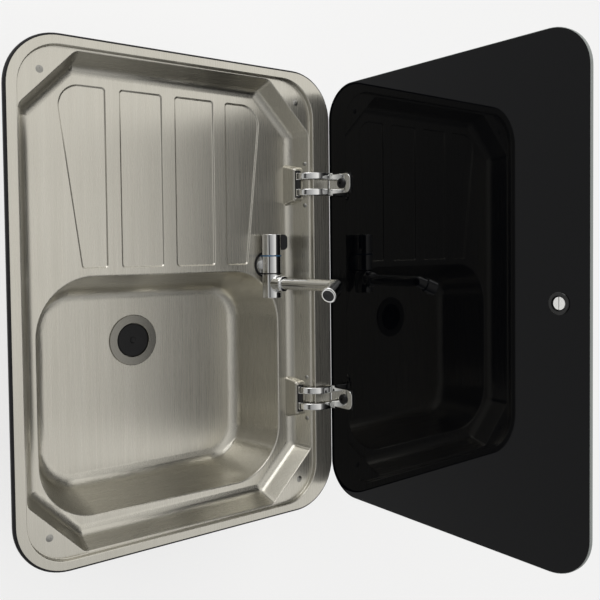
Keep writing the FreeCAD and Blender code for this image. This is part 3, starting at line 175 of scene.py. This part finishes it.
class Nodes:
    """Small helper that builds the nodes of one material."""

    def __init__(self, name):
        self.material = bpy.data.materials.new(name)
        self.material.use_nodes = True
        self.tree = self.material.node_tree
        self.shader = self.tree.nodes["Principled BSDF"]
        self.coords = self.add("ShaderNodeTexCoord")

    def add(self, kind, **settings):
        node = self.tree.nodes.new(kind)
        for key, value in settings.items():
            setattr(node, key, value)
        return node

    def link(self, a, b):
        self.tree.links.new(a, b)

    def set(self, **inputs):
        for key, value in inputs.items():
            self.shader.inputs[key.replace("_", " ")].default_value = value

    def to(self, value, socket):
        self.link(value, self.shader.inputs[socket])

    def noise(self, scale, detail=3.0, stretch=(1.0, 1.0, 1.0)):
        mapping = self.add("ShaderNodeMapping")
        mapping.inputs["Scale"].default_value = stretch
        self.link(self.coords.outputs["Object"], mapping.inputs["Vector"])
        noise = self.add("ShaderNodeTexNoise")
        noise.inputs["Scale"].default_value = scale
        noise.inputs["Detail"].default_value = detail
        self.link(mapping.outputs["Vector"], noise.inputs["Vector"])
        return noise.outputs["Fac"]

    def lines(self, end_wall, scale, detail, stretch):
        """Noise drawn out along X, or along Y on the end walls."""
        along_x = self.noise(scale, detail, (stretch, 1, 1))
        along_y = self.noise(scale, detail, (1, stretch, 1))
        return self.mix(end_wall, along_x, along_y)

    def remap(self, value, to_low, to_high, from_low=0.0, from_high=1.0):
        node = self.add("ShaderNodeMapRange")
        node.inputs["From Min"].default_value = from_low
        node.inputs["From Max"].default_value = from_high
        node.inputs["To Min"].default_value = to_low
        node.inputs["To Max"].default_value = to_high
        self.link(value, node.inputs["Value"])
        return node.outputs["Result"]

    def mix(self, factor, a, b):
        node = self.add("ShaderNodeMix")
        self.link(factor, node.inputs["Factor"])
        self.link(a, node.inputs["A"])
        self.link(b, node.inputs["B"])
        return node.outputs["Result"]

    def facing(self, direction):
        """How far a face looks along a direction of the part, either way, from 0 to 1."""
        dot = self.add("ShaderNodeVectorMath", operation="DOT_PRODUCT")
        dot.inputs[1].default_value = direction
        self.link(self.coords.outputs["Normal"], dot.inputs[0])
        size = self.add("ShaderNodeMath", operation="ABSOLUTE")
        self.link(dot.outputs["Value"], size.inputs[0])
        return size.outputs["Value"]

    def across(self, end_wall):
        """Direction in the surface square to the brush lines."""
        sides = []
        for lines in ((1, 0, 0), (0, 1, 0)):
            cross = self.add("ShaderNodeVectorMath", operation="CROSS_PRODUCT")
            self.link(self.coords.outputs["Normal"], cross.inputs[0])
            cross.inputs[1].default_value = lines
            sides.append(cross.outputs["Vector"])
        node = self.add("ShaderNodeMix", data_type="VECTOR")
        self.link(end_wall, node.inputs["Factor"])
        self.link(sides[0], node.inputs[4])
        self.link(sides[1], node.inputs[5])
        return node.outputs[1]

    def colours(self, value, stops):
        ramp = self.add("ShaderNodeValToRGB")
        fill_ramp(ramp, stops)
        self.link(value, ramp.inputs["Fac"])
        return ramp.outputs["Color"]

    def shade(self, value, dark, light):
        """Base colour between a dark and a light tone."""
        self.to(self.colours(value, [(DARK_AT, dark), (LIGHT_AT, light)]), "Base Color")

    def bump(self, value, strength, relief):
        node = self.add("ShaderNodeBump")
        node.inputs["Strength"].default_value = strength
        node.inputs["Distance"].default_value = relief
        self.link(value, node.inputs["Height"])
        self.to(node.outputs["Normal"], "Normal")


def brushed_steel(name):
    """Satin steel: brush lines along X, or along Y on the end walls, over a slow change of shade."""
    m = Nodes(name)
    m.set(Metallic=1.0, Anisotropic=STEEL_ANISOTROPY)
    end_wall = m.remap(m.facing((1, 0, 0)), 0.0, 1.0, END_WALL_FROM, END_WALL_FULL)
    fine = m.lines(end_wall, FINE_LINES, 2.0, FINE_STRETCH)
    broad = m.lines(end_wall, BROAD_LINES, 3.0, BROAD_STRETCH)
    tone = m.add("ShaderNodeMath", operation="MULTIPLY_ADD")
    tone.inputs[1].default_value = BROAD_SHARE
    m.link(broad, tone.inputs[0])
    m.link(m.remap(m.noise(CLOUDS, 2.0), 0.0, 1.0 - BROAD_SHARE), tone.inputs[2])
    m.shade(tone.outputs["Value"], STEEL_DARK, STEEL_LIGHT)
    m.to(m.remap(fine, STEEL_ROUGH * 0.85, STEEL_ROUGH * 1.15, 0.25, 0.75), "Roughness")
    m.to(m.across(end_wall), "Tangent")
    m.bump(fine, FINE_BUMP, METAL_RELIEF)
    return m.material


def turned_steel(name):
    """Satin steel turned in fine rings about the drain's upright axis, darkened with painted shade."""
    m = Nodes(name)
    m.set(Metallic=1.0)
    level = m.add("ShaderNodeVectorMath", operation="MULTIPLY")
    level.inputs[1].default_value = (1, 1, 0)
    m.link(m.coords.outputs["Object"], level.inputs[0])
    radius = m.add("ShaderNodeVectorMath", operation="DISTANCE")
    radius.inputs[1].default_value = RING_CENTRE
    m.link(level.outputs["Vector"], radius.inputs[0])
    rings = m.add("ShaderNodeTexNoise", noise_dimensions="1D")
    rings.inputs["Scale"].default_value = RING_LINES
    rings.inputs["Detail"].default_value = 3.0
    m.link(radius.outputs["Value"], rings.inputs["W"])
    # the dark and light tones of the rings hold painted shade for the ring's darker look
    m.shade(rings.outputs["Fac"], RING_PAINTED_SHADE_DARK, RING_PAINTED_SHADE_LIGHT)
    m.to(m.remap(rings.outputs["Fac"], RING_ROUGH * 0.8, RING_ROUGH * 1.2), "Roughness")
    m.bump(rings.outputs["Fac"], RING_BUMP, METAL_RELIEF)
    return m.material


def bright_metal(name, colour, rough, grain):
    """Polished or plated metal whose gloss changes a little over the surface."""
    m = Nodes(name)
    m.set(Metallic=1.0)
    haze = m.noise(grain, 4.0)
    m.shade(haze, [c * METAL_DARKER for c in colour], colour)
    m.to(m.remap(haze, rough * 0.7, rough * 1.4), "Roughness")
    m.bump(haze, METAL_BUMP, METAL_RELIEF)
    return m.material


def black_glass(name):
    """Glossy black glass: deep faces, pale ground edge."""
    m = Nodes(name)
    m.set(IOR=GLASS_IOR)
    flat = m.facing((0.0, math.cos(LID_LEAN), -math.sin(LID_LEAN)))
    face = m.remap(flat, 0.0, 1.0, FACE_FROM, FACE_FULL)
    m.to(m.colours(face, [(0.0, GLASS_EDGE), (1.0, GLASS_FACE)]), "Base Color")
    smudge = m.noise(GLASS_SMUDGES, 4.0)
    m.to(m.mix(face, m.remap(smudge, *EDGE_ROUGH), m.remap(smudge, *FACE_ROUGH)), "Roughness")
    return m.material


def polymer(name, dark, light, rough, grain, bump):
    """Moulded rubber, plastic or paint with a fine grain and slightly uneven gloss."""
    m = Nodes(name)
    m.set(Specular_IOR_Level=POLYMER_SPECULAR)
    fine = m.noise(grain, 5.0)
    slow = m.noise(POLYMER_PATCHES)
    m.shade(slow, dark, light)
    m.to(m.remap(slow, rough * 0.85, rough * 1.15), "Roughness")
    m.bump(fine, bump, POLYMER_RELIEF)
    return m.material


def make_materials():
    """One material for each slot of the record, and one for knob_disc, which is brighter than its slot."""
    made = {"stainless": brushed_steel("stainless"), "polished_steel": turned_steel("polished_steel"),
            "black_glass": black_glass("black_glass")}
    for name, values in METALS.items():
        made[name] = bright_metal(name, *values)
    for name, values in POLYMERS.items():
        made[name] = polymer(name, *values)
    return made


def smooth_group():
    """Modifier that joins split vertices and shades every edge below the angle smooth."""
    group = bpy.data.node_groups.new("smooth_by_angle", "GeometryNodeTree")
    group.interface.new_socket("Geometry", in_out="INPUT", socket_type="NodeSocketGeometry")
    group.interface.new_socket("Geometry", in_out="OUTPUT", socket_type="NodeSocketGeometry")
    nodes = group.nodes
    chain = [nodes.new("NodeGroupInput")]
    for attribute in ("custom_normal", "sharp_edge", "sharp_face"):
        remove = nodes.new("GeometryNodeRemoveAttribute")
        remove.inputs["Name"].default_value = attribute
        chain.append(remove)
    merge = nodes.new("GeometryNodeMergeByDistance")
    merge.inputs["Distance"].default_value = MERGE_DISTANCE
    chain.append(merge)
    angle = nodes.new("GeometryNodeInputMeshEdgeAngle")
    small = nodes.new("FunctionNodeCompare")
    small.operation = "LESS_THAN"
    small.inputs["B"].default_value = SMOOTH_ANGLE
    group.links.new(angle.outputs["Unsigned Angle"], small.inputs["A"])
    edges = nodes.new("GeometryNodeSetShadeSmooth")
    edges.domain = "EDGE"
    group.links.new(small.outputs["Result"], edges.inputs["Shade Smooth"])
    chain.append(edges)
    chain.append(nodes.new("NodeGroupOutput"))
    for a, b in zip(chain, chain[1:]):
        group.links.new(a.outputs["Geometry"], b.inputs["Geometry"])
    return group


def dress_nodes(materials):
    """Gives each node the material of its own name, or else of its slot, and smooth shading."""
    slots = {entry["node"]: entry["material_slot"] for entry in frame["record"]["subparts"]}
    group = smooth_group()
    for name, node in frame["nodes"].items():
        node.data.materials.clear()
        node.data.materials.append(materials.get(name, materials[slots[name]]))
        smooth = node.modifiers.new("smooth", "NODES")
        smooth.node_group = group
        weigh = node.modifiers.new("weigh", "WEIGHTED_NORMAL")
        weigh.keep_sharp = True


def make_floor():
    """Pale floor under the part; camera, metal and glass see it nearly white, with the part's shadow."""
    low = cad_box[0].z
    bpy.ops.mesh.primitive_plane_add(size=FLOOR_SIZE, location=(0, 0, low))
    floor = bpy.context.object
    floor.name = "floor"
    m = Nodes("floor")
    m.set(Roughness=FLOOR_ROUGH, Specular_IOR_Level=0.0)
    m.shade(m.noise(FLOOR_PATCHES), FLOOR_COLOUR, [c * FLOOR_LIGHTER for c in FLOOR_COLOUR])
    path = m.add("ShaderNodeLightPath")
    seen = path.outputs["Is Camera Ray"]
    for ray in ("Is Glossy Ray", "Is Transmission Ray"):
        either = m.add("ShaderNodeMath", operation="MAXIMUM")
        m.link(seen, either.inputs[0])
        m.link(path.outputs[ray], either.inputs[1])
        seen = either.outputs["Value"]
    share = m.add("ShaderNodeMath", operation="MULTIPLY")
    share.inputs[1].default_value = FLOOR_WHITE
    m.link(seen, share.inputs[0])
    white = m.add("ShaderNodeEmission")
    mixed = m.add("ShaderNodeMixShader")
    m.link(share.outputs["Value"], mixed.inputs["Fac"])
    m.link(m.shader.outputs["BSDF"], mixed.inputs[1])
    m.link(white.outputs["Emission"], mixed.inputs[2])
    m.link(mixed.outputs["Shader"], m.tree.nodes["Material Output"].inputs["Surface"])
    floor.data.materials.append(m.material)


def make_world():
    """Studio surroundings: light from behind, above and the drainer's end, with a dark band in front."""
    world = bpy.data.worlds.new("world")
    scene.world = world
    world.use_nodes = True
    tree = world.node_tree
    coords = tree.nodes.new("ShaderNodeTexCoord")
    dot = tree.nodes.new("ShaderNodeVectorMath")
    dot.operation = "DOT_PRODUCT"
    dot.inputs[1].default_value = SKY_TOWARDS.normalized()
    tree.links.new(coords.outputs["Generated"], dot.inputs[0])
    place = tree.nodes.new("ShaderNodeMapRange")
    place.inputs["From Min"].default_value = -1.0
    tree.links.new(dot.outputs["Value"], place.inputs["Value"])
    ramp = tree.nodes.new("ShaderNodeValToRGB")
    fill_ramp(ramp, SKY_STOPS)
    tree.links.new(place.outputs["Result"], ramp.inputs["Fac"])
    back = tree.nodes["Background"]
    tree.links.new(ramp.outputs["Color"], back.inputs["Color"])
    back.inputs["Strength"].default_value = 1.0


def make_lamp():
    data = bpy.data.lights.new("side", "AREA")
    data.shape = "RECTANGLE"
    data.size = LAMP_WIDTH
    data.size_y = LAMP_HEIGHT
    data.energy = LAMP_POWER
    lamp = bpy.data.objects.new("side", data)
    scene.collection.objects.link(lamp)
    lamp.location = LAMP_PLACE
    lamp.rotation_euler = (-LAMP_PLACE).to_track_quat("-Z", "Y").to_euler()


make_camera()
dress_nodes(make_materials())
make_floor()
make_world()
make_lamp()
scene.view_settings.view_transform = "Standard"
